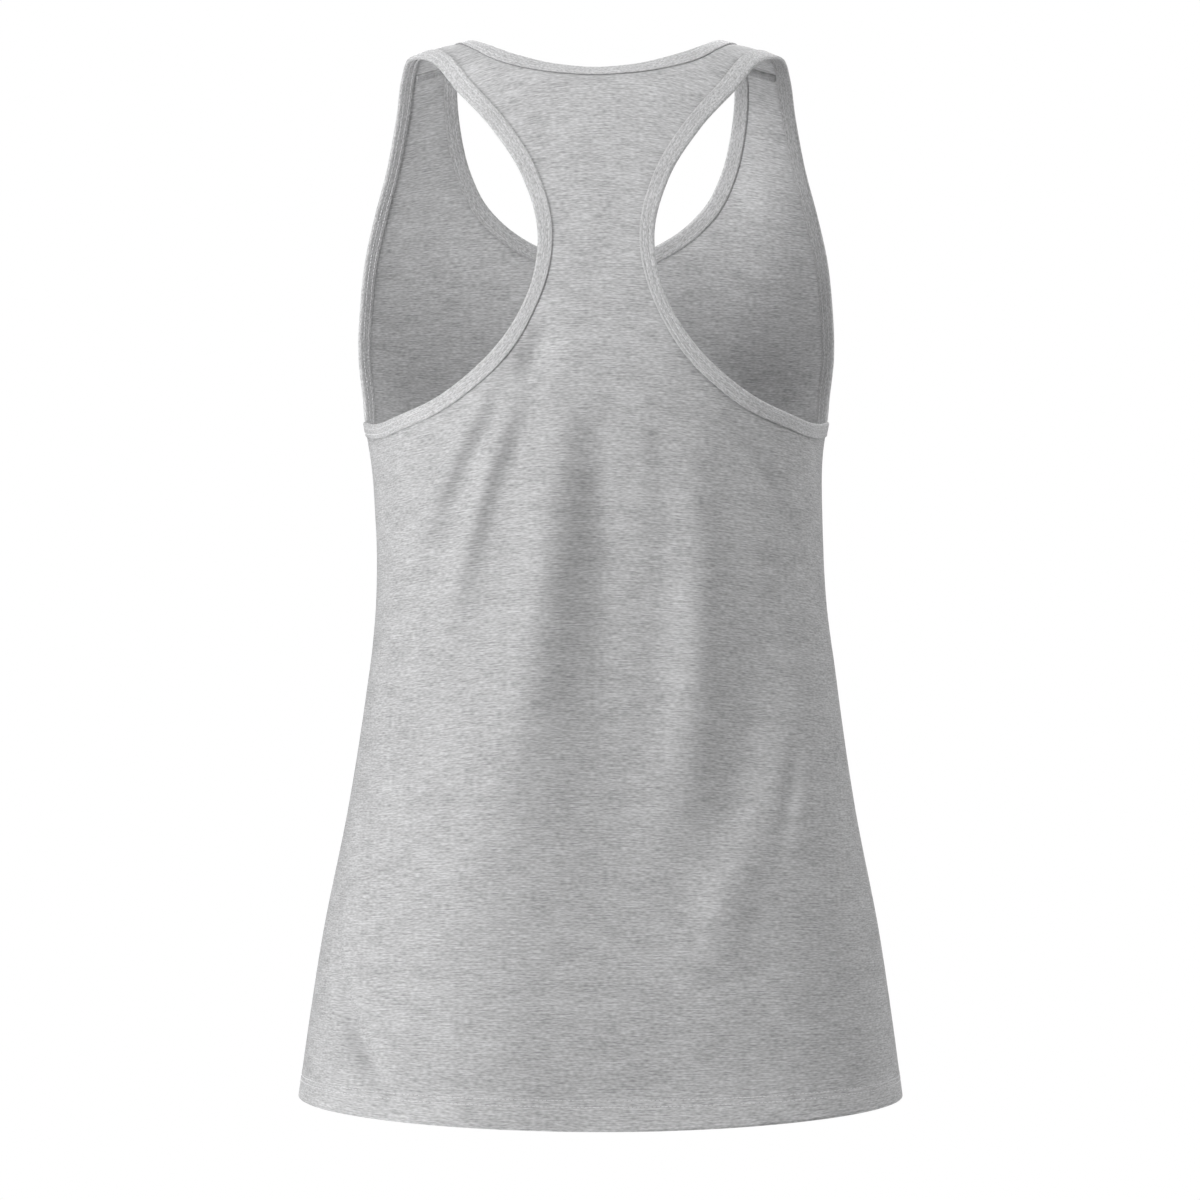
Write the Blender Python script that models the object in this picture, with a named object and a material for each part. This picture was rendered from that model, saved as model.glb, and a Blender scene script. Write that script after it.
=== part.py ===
"""Racerback tank top in jersey, women's size S, keeping the hollow form it has when worn.

Frame: metres, +Z up, the front faces -Y and the back +Y, the wearer's left is +X.
The origin lies midway between the two straps, at the height of their crests.

The cloth is one strip that runs from the front hem up over the shoulders and down to
the back hem. A place on it is (run, across): run is the distance over the cloth from
the shoulder crest, negative down the front and positive down the back, and across is
the distance along the rib from the centre line. Ribs turn that flat place into the
worn form, and every piece is cut out of the same strip.
"""
import math
from collections import namedtuple

import bmesh
import bpy
import numpy as np
from mathutils import Vector
from mathutils.geometry import delaunay_2d_cdt

# Driving dimensions, in millimetres.
PANEL_WALL = 1.2
HEM_WALL = 2.0
HEM_HEIGHT = 17.0
HEM_STEP = 2.0
BINDING_WALL = 2.4
BINDING_WIDTH = 9.0
SEAM_GAP = 0.3
SHOULDER_SEAM_RUN = -24.0
HEM_RUN = 684.0
ARMHOLE_BOTTOM_RUN = 258.0
RIB_SQUARENESS = 0.035

# Mesh steps, in millimetres.
PANEL_STEP = 13.5
EDGE_STEP = 8.5
NORMAL_STEP = 0.5
RIB_SAMPLES = 41
CURVE_SAMPLES = 24
# Clearances of the inner points from the cut edge, as shares of the panel step.
EDGE_CLEARANCE = 0.55
HEM_ROW_CLEARANCE = 0.6
MERGE_DISTANCE = 0.0001

METRES = 0.001
SHARP_ANGLE = 50.0

# Closed rings of the body below the armholes. Both panels share the side values,
# so their side seams meet. front_wrap is how far round the front half of the ring has
# turned at the side, in degrees; the back half turns BACK_WRAP there.
Ring = namedtuple("Ring", "run side_height half_width side_depth "
                          "front_height front_depth back_height back_depth front_wrap")
BACK_WRAP = 90.0
BODY_RINGS = [
    Ring(220, -195, 155, -42, -190, -110, -179, 85, 36),
    Ring(250, -225, 145.8, -40, -221, -114, -209, 87, 40),
    Ring(280, -255, 140, -30, -252, -116, -239, 87, 55),
    Ring(320, -294, 137.6, -16, -293, -115, -280, 86, 74),
    Ring(370, -343, 138, -5, -344, -110, -330, 84, 88),
    Ring(430, -401, 144.5, 0, -404, -108, -390, 85, 90),
    Ring(500, -470, 155, 0, -474, -111, -461, 90, 90),
    Ring(580, -549, 170.5, 0, -554, -116, -543, 99, 90),
    Ring(640, -608, 179.5, 0, -613, -120, -606, 107, 90),
    Ring(684, -648.5, 185, 0, -657, -122, -658, 113, 90),
]

# Open ribs above the rings. mid is on the centre line, edge is at the half width,
# and wrap is how far round the rib has turned there, in degrees.
Rib = namedtuple("Rib", "run mid_height edge_height mid_depth edge_depth half_width wrap")
FRONT_RIBS = [
    Rib(-180, -152, -160, -101, -48, 157, 36),
    Rib(-150, -121, -133, -94, -52, 153, 36),
    Rib(-120, -90, -106, -86, -53, 149, 36),
    Rib(-90, -59, -79, -75, -49, 142, 36),
    Rib(-60, -30, -50, -58, -40, 134, 34),
    Rib(-30, -4, -27, -32, -24, 128, 30),
]
SHOULDER_RIB = Rib(0, 11, -15, 0, 0, 122, 22)
BACK_RIBS = [
    Rib(30, 3, -30, 33, 20, 128, 45),
    Rib(60, -22, -60, 54, 34, 132, 60),
    Rib(90, -50, -85, 64, 42, 136, 68),
    Rib(120, -79, -113, 71, 44, 141, 75),
    Rib(150, -109, -139, 77, 36, 147, 80),
    Rib(180, -139, -165, 82, 20, 153, 85),
]

# Finished edges, read as a smooth curve through the rows. The armhole runs from the
# side seam up the front, over the shoulder and down the back to the side seam.
EdgePoint = namedtuple("EdgePoint", "run across")
ARMHOLE_EDGE = [
    EdgePoint(-250, 168.5),
    EdgePoint(-217, 164.6),
    EdgePoint(-182, 158),
    EdgePoint(-150, 152),
    EdgePoint(-117, 143),
    EdgePoint(-85, 134),
    EdgePoint(-54, 127),
    EdgePoint(-25, 123),
    EdgePoint(0, 118),
    EdgePoint(25, 105),
    EdgePoint(59, 86),
    EdgePoint(94, 63),
    EdgePoint(129, 44),
    EdgePoint(165, 35),
    EdgePoint(194, 39),
    EdgePoint(228, 58),
    EdgePoint(254, 94),
    EdgePoint(263, 139),
]
NECK_EDGE = [
    EdgePoint(-158, 0),
    EdgePoint(-149, 35),
    EdgePoint(-134, 58),
    EdgePoint(-119, 71),
    EdgePoint(-102, 79),
    EdgePoint(-71, 86),
    EdgePoint(-38, 87),
    EdgePoint(0, 79),
    EdgePoint(35, 60),
    EdgePoint(49.5, 34),
    EdgePoint(56, 0),
]

# Soft folds of the cloth, from one place on the strip to another. bow is how far the
# middle bends aside, peak is the share of the length where the fold is highest, and
# depth is positive for a ridge and negative for a trough. The first row is the soft roll
# of the back neck edge towards the wearer.
Fold = namedtuple("Fold", "run_from across_from run_to across_to bow "
                          "width_from width_to peak depth")
FOLDS = [
    Fold(-42, -120, -42, 120, -92, 14, 14, 0.50, -8.6),
    Fold(228, 16, 560, 60, -2, 14, 18, 0.32, 6.0),
    Fold(248, 18, 820, 98, 3, 24, 74, 0.36, 11.5),
    Fold(235, -4, 560, 4, 0, 11, 20, 0.30, -3.0),
    Fold(245, -53, 570, -34, -13, 12, 18, 0.50, 7.5),
    Fold(330, -104, 556, -70, -4, 20, 17, 0.72, -6.0),
    Fold(486, -101, 622, -52, 0, 10, 20, 0.55, 5.0),
    Fold(668, 80, 666, -175, 0, 28, 28, 0.45, -7.0),
    Fold(-235, 60, -650, 86, 6, 20, 32, 0.40, 5.0),
    Fold(-235, -64, -640, -94, -5, 19, 30, 0.35, 4.4),
    Fold(-205, 5, -590, -8, 4, 20, 27, 0.35, -3.6),
    Fold(-262, 128, -430, 106, -4, 12, 17, 0.30, -2.6),
    Fold(-260, -130, -400, -112, 3, 12, 16, 0.30, -2.4),
]
SIDE_CALM = 30.0

HEATHER_GREY = (0.42, 0.42, 0.43, 1.0)
BINDING_GREY = (0.40, 0.40, 0.41, 1.0)
JERSEY_ROUGHNESS = 0.9


def strip_rows():
    """Every rib as (run, mid height, edge height, mid depth, edge depth, half width, wrap)."""
    front = [(-ring.run, ring.front_height, ring.side_height, ring.front_depth,
              ring.side_depth, ring.half_width, ring.front_wrap) for ring in reversed(BODY_RINGS)]
    back = [(ring.run, ring.back_height, ring.side_height, ring.back_depth,
             ring.side_depth, ring.half_width, BACK_WRAP) for ring in BODY_RINGS]
    return np.array(front + FRONT_RIBS + [SHOULDER_RIB] + BACK_RIBS + back, dtype=float)


ROWS = strip_rows()
RUNS = ROWS[:, 0]
SHAPES = ROWS[:, 1:]
SLOPES = np.gradient(SHAPES, RUNS, axis=0)


def rib_values(run):
    """The six rib values at each run, by a cubic through the rows."""
    row = np.clip(np.searchsorted(RUNS, run) - 1, 0, len(RUNS) - 2)
    span = (RUNS[row + 1] - RUNS[row])[:, None]
    t = (run - RUNS[row])[:, None] / span
    value = (SHAPES[row] * (1 + 2 * t) * (1 - t) ** 2 + SHAPES[row + 1] * (3 - 2 * t) * t ** 2
             + SLOPES[row] * span * t * (1 - t) ** 2 + SLOPES[row + 1] * span * (t - 1) * t ** 2)
    return value.T


def rib_points(values, share):
    """Points at a share of the way round each rib: 0 on the centre line, 1 at its edge."""
    mid_height, edge_height, mid_depth, edge_depth, half_width, wrap = values
    full = np.radians(wrap)
    turn = share * full

    def sideways(angle):
        return np.sin(angle) + RIB_SQUARENESS * np.sin(3 * angle)

    def forwards(angle):
        return np.cos(angle) - RIB_SQUARENESS * np.cos(3 * angle)

    reach = sideways(turn) / sideways(full)
    bend = (forwards(0.0) - forwards(turn)) / (forwards(0.0) - forwards(full))
    x = half_width * reach
    y = mid_depth + (edge_depth - mid_depth) * bend
    z = mid_height + (edge_height - mid_height) * reach ** 2
    return np.stack([x, y, z], axis=-1)


def rib_lengths(values):
    """Distance round each rib from the centre line at evenly spaced shares."""
    shares = np.linspace(0.0, 1.0, RIB_SAMPLES)
    points = rib_points([value[:, None] for value in values], shares[None, :])
    steps = np.linalg.norm(np.diff(points, axis=1), axis=2)
    return shares, np.concatenate([np.zeros((len(steps), 1)), np.cumsum(steps, axis=1)], axis=1)


def smooth_cloth(run, across):
    """Points of the cloth before its folds, for arrays of run and across."""
    values = rib_values(run)
    shares, lengths = rib_lengths(values)
    distance = np.abs(across)
    sample = np.clip((lengths < distance[:, None]).sum(axis=1) - 1, 0, RIB_SAMPLES - 2)
    rows = np.arange(len(run))
    before, after = lengths[rows, sample], lengths[rows, sample + 1]
    share = shares[sample] + (distance - before) / (after - before) * shares[1]
    points = rib_points(values, share)
    points[:, 0] *= np.where(across < 0, -1.0, 1.0)
    return points


def surface_normals(surface, run, across):
    """Unit normals that point out of the garment."""
    down = surface(run + NORMAL_STEP, across) - surface(run - NORMAL_STEP, across)
    over = surface(run, across + NORMAL_STEP) - surface(run, across - NORMAL_STEP)
    normal = np.cross(over, down)
    return normal / np.linalg.norm(normal, axis=1)[:, None]


def side_across(run):
    """Across at the side seam, the full length of half a rib."""
    return rib_lengths(rib_values(run))[1][:, -1]


def fold_lift(run, across):
    """How far the folds stand out of the smooth cloth."""
    lift = np.zeros(len(run))
    for fold in FOLDS:
        run_span = fold.run_to - fold.run_from
        across_span = fold.across_to - fold.across_from
        length = math.hypot(run_span, across_span)
        run_gap, across_gap = run - fold.run_from, across - fold.across_from
        along = np.clip((run_gap * run_span + across_gap * across_span) / length ** 2, 0.0, 1.0)
        aside = (across_gap * run_span - run_gap * across_span) / length
        aside = aside - fold.bow * 4 * along * (1 - along)
        width = fold.width_from + (fold.width_to - fold.width_from) * along
        rise = np.where(along < fold.peak, along / fold.peak, (1 - along) / (1 - fold.peak))
        lift += fold.depth * rise * rise * (3 - 2 * rise) * np.exp(-(aside / width) ** 2)
    calm = np.clip((side_across(run) - np.abs(across)) / SIDE_CALM, 0.0, 1.0)
    return lift * calm * calm * (3 - 2 * calm)


def folded_cloth(run, across):
    """Points of the middle of the cloth wall, folds included."""
    points = smooth_cloth(run, across)
    normals = surface_normals(smooth_cloth, run, across)
    return points + normals * fold_lift(run, across)[:, None]


def cloth(places, lift):
    """Points in metres at an array of (run, across), lifted out of the middle of the wall."""
    run, across = places[:, 0], places[:, 1]
    middle = folded_cloth(run, across)
    normals = surface_normals(folded_cloth, run, across)
    return (middle + normals * np.broadcast_to(lift, len(run))[:, None]) * METRES


def smooth_curve(points):
    """A dense curve through the points, by a cubic over their spacing."""
    points = np.array(points, dtype=float)
    spacing = np.linalg.norm(np.diff(points, axis=0), axis=1)
    station = np.concatenate([[0.0], np.cumsum(spacing)])
    slopes = np.gradient(points, station, axis=0)
    dense = [points[:1]]
    for i, span in enumerate(spacing):
        t = np.linspace(0.0, 1.0, CURVE_SAMPLES + 1)[1:, None]
        dense.append(points[i] * (1 + 2 * t) * (1 - t) ** 2 + points[i + 1] * (3 - 2 * t) * t ** 2
                     + slopes[i] * span * t * (1 - t) ** 2
                     + slopes[i + 1] * span * (t - 1) * t ** 2)
    return np.concatenate(dense)


def resample(curve, step):
    """The curve cut into equal lengths of about the step."""
    lengths = np.concatenate([[0.0], np.cumsum(np.linalg.norm(np.diff(curve, axis=0), axis=1))])
    count = max(2, round(lengths[-1] / step))
    stations = np.linspace(0.0, lengths[-1], count + 1)
    return np.stack([np.interp(stations, lengths, curve[:, axis]) for axis in (0, 1)], axis=1)


def armhole_curve():
    """Finished armhole edge on the +across side, from side seam to side seam."""
    ends = side_across(np.array([-ARMHOLE_BOTTOM_RUN, ARMHOLE_BOTTOM_RUN]))
    start = (-ARMHOLE_BOTTOM_RUN, ends[0])
    stop = (ARMHOLE_BOTTOM_RUN, ends[1])
    first, last = ARMHOLE_EDGE[0], ARMHOLE_EDGE[-1]
    before = (first.run, 2 * start[1] - first.across)
    beyond = (last.run, 2 * stop[1] - last.across)
    dense = smooth_curve([before, start] + ARMHOLE_EDGE + [stop, beyond])
    return dense[CURVE_SAMPLES:-CURVE_SAMPLES]


def neck_curve():
    """Half of the finished neck edge, from the front centre to the back centre."""
    half = [tuple(point) for point in NECK_EDGE]
    before = (half[1][0], -half[1][1])
    beyond = (half[-2][0], -half[-2][1])
    dense = smooth_curve([before] + half + [beyond])
    return dense[CURVE_SAMPLES:-CURVE_SAMPLES]


def directions(curve):
    """Unit directions along a curve."""
    along = np.gradient(curve, axis=0)
    return along / np.linalg.norm(along, axis=1)[:, None]


def armhole_frame(step):
    """Places along the armhole and their directions into the cloth."""
    curve = resample(armhole_curve(), step)
    along = directions(curve)
    into = np.stack([along[:, 1], -along[:, 0]], axis=1)
    into[0], into[-1] = (-1.0, 0.0), (1.0, 0.0)
    return curve, into


def neck_frame(step):
    """Places along half of the neck and their directions into the cloth."""
    curve = resample(neck_curve(), step)
    along = directions(curve)
    into = np.stack([-along[:, 1], along[:, 0]], axis=1)
    into[0], into[-1] = (-1.0, 0.0), (1.0, 0.0)
    return curve, into


def moved_in(curve, into, distance):
    """The curve moved into the cloth, keeping its share of the way to the side seam."""
    moved = curve + into * distance
    moved[:, 1] *= side_across(moved[:, 0]) / side_across(curve[:, 0])
    return moved


def trimmed(curve, sign):
    """The part of a curve on one side of the shoulder seam, with its end on the seam."""
    limit = SHOULDER_SEAM_RUN + sign * SEAM_GAP / 2
    inside = sign * (curve[:, 0] - limit) > 0
    kept = []
    for i, place in enumerate(curve):
        if i and inside[i] != inside[i - 1]:
            share = (limit - curve[i - 1][0]) / (place[0] - curve[i - 1][0])
            kept.append(curve[i - 1] + share * (place - curve[i - 1]))
        if inside[i]:
            kept.append(place)
    return np.array(kept)


def panel_outline(sign):
    """Half of a panel's cut edge, from the neck centre round to the hem centre."""
    setback = BINDING_WIDTH + SEAM_GAP
    neck = trimmed(moved_in(*neck_frame(EDGE_STEP), setback), sign)
    armhole = trimmed(moved_in(*armhole_frame(EDGE_STEP), setback), sign)
    if sign > 0:
        neck = neck[::-1]
    else:
        armhole = armhole[::-1]
    armhole[-1][1] -= SEAM_GAP / 2
    shoulder = resample(np.array([neck[-1], armhole[0]]), EDGE_STEP)[1:-1]
    hem_run = sign * HEM_RUN
    side_runs = resample(np.array([(armhole[-1][0], 0.0), (hem_run, 0.0)]), PANEL_STEP)[1:, 0]
    side = np.stack([side_runs, side_across(side_runs) - SEAM_GAP / 2], axis=1)
    hem = resample(np.array([side[-1], (hem_run, 0.0)]), PANEL_STEP)[1:]
    return np.concatenate([neck, shoulder, armhole, side, hem])


def wall_lift(run):
    """Half the wall at each run, thicker over the turned hem."""
    above_hem = HEM_RUN - np.abs(run)
    share = np.clip((HEM_HEIGHT + HEM_STEP - above_hem) / HEM_STEP, 0.0, 1.0)
    return (PANEL_WALL + (HEM_WALL - PANEL_WALL) * share) / 2


def inside_outline(places, outline):
    """Which places lie inside a closed outline."""
    inside = np.zeros(len(places), dtype=bool)
    ahead = np.roll(outline, -1, axis=0)
    for (run_a, across_a), (run_b, across_b) in zip(outline, ahead):
        if run_a == run_b:
            continue
        level = (places[:, 0] >= min(run_a, run_b)) & (places[:, 0] < max(run_a, run_b))
        crossing = across_a + (places[:, 0] - run_a) * (across_b - across_a) / (run_b - run_a)
        inside ^= level & (places[:, 1] < crossing)
    return inside


def clear_of_outline(places, outline, distance):
    """Which places keep a distance to the outline's edges."""
    clear = np.ones(len(places), dtype=bool)
    ahead = np.roll(outline, -1, axis=0)
    for start, stop in zip(outline, ahead):
        edge = stop - start
        share = np.clip((places - start) @ edge / (edge @ edge), 0.0, 1.0)
        gap = np.linalg.norm(places - start - share[:, None] * edge, axis=1)
        clear &= gap > distance
    return clear


def inner_places(outline, sign):
    """Rows of places that fill the outline, and the two rows where the hem grows thick."""
    hem_rows = sign * (HEM_RUN - HEM_HEIGHT - np.array([0.0, HEM_STEP]))
    row_step = PANEL_STEP * math.sqrt(3) / 2
    low, high = outline[:, 0].min(), outline[:, 0].max()
    reach = outline[:, 1].max()
    places = []
    for count, run in enumerate(np.arange(low, high, row_step)):
        if min(abs(run - hem_rows)) < row_step / 2:
            continue
        shift = PANEL_STEP / 2 if count % 2 else 0.0
        for across in np.arange(-reach - shift, reach, PANEL_STEP):
            places.append((run, across))
    grid = np.array(places)
    clear = clear_of_outline(grid, outline, PANEL_STEP * EDGE_CLEARANCE)
    grid = grid[inside_outline(grid, outline) & clear]
    rows = []
    for run in hem_rows:
        side = side_across(np.array([run]))[0] - SEAM_GAP / 2
        edge = side - PANEL_STEP * HEM_ROW_CLEARANCE
        for across in resample(np.array([[run, -edge], [run, edge]]), PANEL_STEP)[:, 1]:
            rows.append((run, across))
    return np.concatenate([grid, np.array(rows)])


def fill_outline(outline, inner):
    """Triangles over the outline and its inner places, as (places, triangles)."""
    places = np.concatenate([outline, inner])
    count = len(outline)
    edges = [(i, (i + 1) % count) for i in range(count)]
    points = [Vector(place) for place in places]
    result = delaunay_2d_cdt(points, edges, [], 1, MERGE_DISTANCE)
    filled = np.array([tuple(vertex) for vertex in result[0]])
    return filled, [tuple(face) for face in result[2]]


def mesh_object(name, points, faces, colour):
    """A smooth-shaded object with one jersey material, its faces turned outwards."""
    mesh = bpy.data.meshes.new(name)
    mesh.from_pydata([tuple(point) for point in points], [], faces)
    shell = bmesh.new()
    shell.from_mesh(mesh)
    bmesh.ops.recalc_face_normals(shell, faces=shell.faces)
    shell.to_mesh(mesh)
    shell.free()
    mesh.shade_smooth()
    mesh.set_sharp_from_angle(angle=math.radians(SHARP_ANGLE))
    material = bpy.data.materials.new(name + "_jersey")
    material.use_nodes = True
    shader = material.node_tree.nodes["Principled BSDF"]
    shader.inputs["Base Color"].default_value = colour
    shader.inputs["Roughness"].default_value = JERSEY_ROUGHNESS
    shader.inputs["Metallic"].default_value = 0.0
    mesh.materials.append(material)
    thing = bpy.data.objects.new(name, mesh)
    bpy.context.collection.objects.link(thing)
    return thing


def make_panel(name, sign):
    """A front (sign -1) or back (sign +1) panel: two skins of the wall and the rim between."""
    half = panel_outline(sign)
    mirrored = half[::-1][1:-1] * (1.0, -1.0)
    outline = np.concatenate([half, mirrored])
    places, triangles = fill_outline(outline, inner_places(outline, sign))
    half_wall = wall_lift(places[:, 0])
    outer = cloth(places, half_wall)
    inner = cloth(places, -half_wall)
    count = len(places)
    faces = list(triangles) + [tuple(i + count for i in reversed(face)) for face in triangles]
    edges = {edge for face in triangles for edge in zip(face, face[1:] + face[:1])}
    for a, b in sorted(edges):
        if (b, a) not in edges:
            faces += [(b, a, a + count), (b, a + count, b + count)]
    return mesh_object(name, np.concatenate([outer, inner]), faces, HEATHER_GREY)


def binding_section():
    """The band's cross-section, as (distance in from the finished edge, lift)."""
    half = BINDING_WALL / 2
    ease = BINDING_WALL / 3
    outer = [(0.0, half - ease), (ease, half), (BINDING_WIDTH - ease, half),
             (BINDING_WIDTH, half - ease)]
    inner = [(distance, -lift) for distance, lift in reversed(outer)]
    return outer + inner


def make_binding(name, frame, side=1.0):
    """A closed band along a finished edge, given as places and directions into the cloth."""
    section = binding_section()
    rings = []
    for distance, lift in section:
        places = moved_in(*frame, distance) * (1.0, side)
        rings.append(cloth(places, lift))
    points = np.stack(rings, axis=1).reshape(-1, 3)
    count, width = len(frame[0]), len(section)
    faces = []
    for i in range(count):
        here, ahead = i * width, (i + 1) % count * width
        for j in range(width):
            k = (j + 1) % width
            faces += [(here + j, ahead + j, ahead + k), (here + j, ahead + k, here + k)]
    return mesh_object(name, points, faces, BINDING_GREY)


def make_armhole_binding(name, side):
    """The binding of one armhole, closed across the side seam."""
    places, into = armhole_frame(EDGE_STEP)
    return make_binding(name, (places[:-1], into[:-1]), side)


def make_neck_binding(name):
    """The binding all round the neck: half of it and its mirror image."""
    places, into = neck_frame(EDGE_STEP)
    flip = (1.0, -1.0)
    ring = np.concatenate([places, places[-2:0:-1] * flip])
    ring_into = np.concatenate([into, into[-2:0:-1] * flip])
    return make_binding(name, (ring, ring_into))


def main():
    for thing in list(bpy.data.objects):
        bpy.data.objects.remove(thing, do_unlink=True)
    make_panel("front_panel", -1)
    make_panel("back_panel", 1)
    make_neck_binding("neck_binding")
    make_armhole_binding("armhole_binding_left", 1.0)
    make_armhole_binding("armhole_binding_right", -1.0)


main()
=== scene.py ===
"""Looks of the racerback tank top: heathered jersey, folded bindings, seams, stitches, light.

Frame: metres, +Z up, the front faces -Y and the back +Y, the wearer's left is +X.
The cloth is one strip over the worn form. A place on it is (run, across) in millimetres:
run is the distance from the shoulder crest, negative down the front and positive down
the back, and across is the distance along the rib from the centre line.
"""
import math
from collections import namedtuple

import bmesh
import bpy
import numpy as np
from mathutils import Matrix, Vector
from mathutils.geometry import delaunay_2d_cdt


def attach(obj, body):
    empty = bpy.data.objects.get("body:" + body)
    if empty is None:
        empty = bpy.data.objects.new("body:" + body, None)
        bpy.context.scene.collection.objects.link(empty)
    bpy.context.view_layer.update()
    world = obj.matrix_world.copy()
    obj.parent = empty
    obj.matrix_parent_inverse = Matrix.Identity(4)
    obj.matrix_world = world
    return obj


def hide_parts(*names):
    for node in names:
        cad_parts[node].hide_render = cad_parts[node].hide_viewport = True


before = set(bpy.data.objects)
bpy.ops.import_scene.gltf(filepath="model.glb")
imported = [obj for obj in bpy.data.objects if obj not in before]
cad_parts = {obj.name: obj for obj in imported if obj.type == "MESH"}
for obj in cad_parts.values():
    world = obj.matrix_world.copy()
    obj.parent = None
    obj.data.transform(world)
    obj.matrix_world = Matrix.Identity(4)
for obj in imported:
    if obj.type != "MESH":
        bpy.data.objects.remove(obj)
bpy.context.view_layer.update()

METRES = 0.001

# Cloth, in millimetres.
JERSEY_WALL = 0.9
HEM_RUN = 684.0
HEM_HEIGHT = 17.0
HEM_STITCH_ROWS = (12.0, 15.2)
SHOULDER_SEAM_RUN = -24.0
ARMHOLE_BOTTOM_RUN = 258.0
SEAM_GAP = 0.3
BINDING_WIDTH = 9.0
BINDING_FOLD = 0.8
BINDING_TUCK = 2.2
RIB_SQUARENESS = 0.035
SIDE_CALM = 30.0
CREASE_CALM = 12.0

# Relief of the seams, the turned hem and the bindings: heights and reaches in millimetres,
# while SEAM_THINNING, HEM_EDGE_SHARE and BAND_JOIN_DIP are shares.
SEAM_ROLL = 0.5
SEAM_ROLL_REACH = 1.3
SEAM_THINNING = 0.55
SEAM_THINNING_REACH = 0.6
HEM_LAYER = 0.85
HEM_LAYER_RAMP = 0.6
HEM_SWELL = 0.16
HEM_SWELL_RAMP = 3.0
HEM_OUTER_GROOVE = 0.26
HEM_INNER_GROOVE = 0.22
HEM_GROOVE_REACH = 0.55
HEM_RIDGE = 0.10
HEM_RIDGE_REACH = 0.8
HEM_ROUNDING = 1.0
HEM_EDGE_SHARE = 0.02
BAND_PINCH = 0.10
BAND_PINCH_REACH = 0.7
BAND_JOIN_DIP = 0.3
BAND_JOIN_REACH = 1.4

# Thread, in millimetres. A rise is how far a row of stitches stands off the skin.
STITCH_PITCH = 2.4
STITCH_LENGTH = 1.9
THREAD_RADIUS = 0.18
HEM_STITCH_RISE = 0.12
BAND_OUTER_RISE = 0.10
BAND_INNER_RISE = 0.06
HEM_LOOPER_RISE = 0.02
HEM_LOOPER_RADIUS = 0.14
ZIGZAG_SWING = 0.62
ZIGZAG_OVERSHOOT = 0.02
ZIGZAG_STEPS = 6

# Serged allowances inside the side and shoulder seams, in millimetres.
SERGING_WIDTH = 6.0
SEAM_INSET = 0.4
SIDE_TOP_GAP = 0.6
SHOULDER_END_GAP = 0.5
HEM_ROW_INSET = 1.2
ALLOWANCE_WAVE = 0.12
ALLOWANCE_WAVE_SPAN = 5.0
OVERLOCK_DEPTH = 1.2
OVERLOCK_PITCH = 2.1
OVERLOCK_REACH = 0.25
OVERLOCK_RADIUS = 0.13
NEEDLE_LINE_INSET = 1.6
NEEDLE_LINE_DEPTH = 0.05
NEEDLE_LINE_RADIUS = 0.15

# Mesh steps, in millimetres.
PANEL_STEP = 3.4
EDGE_STEP = 3.2
BAND_STEP = 1.2
NORMAL_STEP = 0.5
RIB_SAMPLES = 41
CURVE_SAMPLES = 24
SIDE_LINE_STEP = 3.0
SEAM_LINE_STEP = 1.5
EDGE_CLEARANCE = 0.55
MERGE_DISTANCE = 0.0001
STITCH_SIDES = 5
LOOPER_SIDES = 4

# Closed rings of the body below the armholes. front_wrap is how far round the front half
# of the ring has turned at the side, in degrees; the back half turns BACK_WRAP there.
Ring = namedtuple("Ring", "run side_height half_width side_depth "
                          "front_height front_depth back_height back_depth front_wrap")
BACK_WRAP = 90.0
BODY_RINGS = [
    Ring(220, -195, 155, -42, -190, -110, -179, 85, 36),
    Ring(250, -225, 145.8, -40, -221, -114, -209, 87, 40),
    Ring(280, -255, 140, -30, -252, -116, -239, 87, 55),
    Ring(320, -294, 137.6, -16, -293, -115, -280, 86, 74),
    Ring(370, -343, 138, -5, -344, -110, -330, 84, 88),
    Ring(430, -401, 144.5, 0, -404, -108, -390, 85, 90),
    Ring(500, -470, 155, 0, -474, -111, -461, 90, 90),
    Ring(580, -549, 170.5, 0, -554, -116, -543, 99, 90),
    Ring(640, -608, 179.5, 0, -613, -120, -606, 107, 90),
    Ring(684, -648.5, 185, 0, -657, -122, -658, 113, 90),
]

# Open ribs above the rings, wrap is how far round the rib has turned at its edge.
Rib = namedtuple("Rib", "run mid_height edge_height mid_depth edge_depth half_width wrap")
FRONT_RIBS = [
    Rib(-180, -152, -160, -101, -48, 157, 36),
    Rib(-150, -121, -133, -94, -52, 153, 36),
    Rib(-120, -90, -106, -86, -53, 149, 36),
    Rib(-90, -59, -79, -75, -49, 142, 36),
    Rib(-60, -30, -50, -58, -40, 134, 34),
    Rib(-30, -4, -27, -32, -24, 128, 30),
]
SHOULDER_RIB = Rib(0, 11, -15, 0, 0, 122, 22)
BACK_RIBS = [
    Rib(30, 3, -30, 33, 20, 128, 45),
    Rib(60, -22, -60, 54, 34, 132, 60),
    Rib(90, -50, -85, 64, 42, 136, 68),
    Rib(120, -79, -113, 71, 44, 141, 75),
    Rib(150, -109, -139, 77, 36, 147, 80),
    Rib(180, -139, -165, 82, 20, 153, 85),
]

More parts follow.
